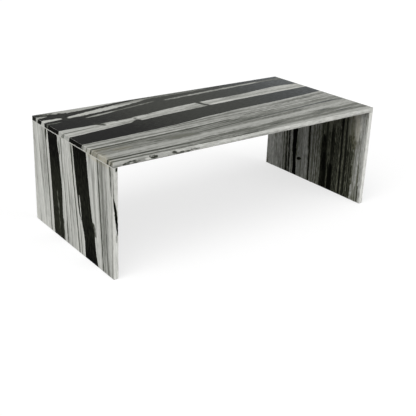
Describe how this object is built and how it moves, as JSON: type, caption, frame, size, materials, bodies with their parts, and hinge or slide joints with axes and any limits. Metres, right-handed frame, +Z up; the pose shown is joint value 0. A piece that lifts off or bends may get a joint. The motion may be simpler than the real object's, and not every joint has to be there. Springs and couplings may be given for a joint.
{
  "type": "coffee table",
  "caption": "Low rectangular waterfall coffee table: a marble top lying over two upright marble slab legs, butt-jointed in resin over hidden pins, for setting things on in a living room.",
  "frame": {"origin": "on the floor, under the middle of the top", "axes": "+X along the table's length, -Y to its front, +Z up"},
  "size_m": [1.3, 0.632, 0.45],
  "materials": {
    "marble": "polished",
    "joint_resin": "satin",
    "steel": "satin",
    "felt": "matte"
  },
  "bodies": {
    "root": {"top_slab": "marble", "left_leg_slab": "marble", "left_joint_resin": "joint_resin", "left_joint_pin_1": "steel", "left_joint_pin_2": "steel", "left_joint_pin_3": "steel", "left_joint_pin_4": "steel", "left_foot_pad_1": "felt", "left_foot_pad_2": "felt", "left_foot_pad_3": "felt", "right_leg_slab": "marble", "right_joint_resin": "joint_resin", "right_joint_pin_1": "steel", "right_joint_pin_2": "steel", "right_joint_pin_3": "steel", "right_joint_pin_4": "steel", "right_foot_pad_1": "felt", "right_foot_pad_2": "felt", "right_foot_pad_3": "felt", "stiffening_rod_1": "steel", "rod_resin_1": "joint_resin", "stiffening_rod_2": "steel", "rod_resin_2": "joint_resin", "stiffening_rod_3": "steel", "rod_resin_3": "joint_resin"}
  },
  "joints": []
}
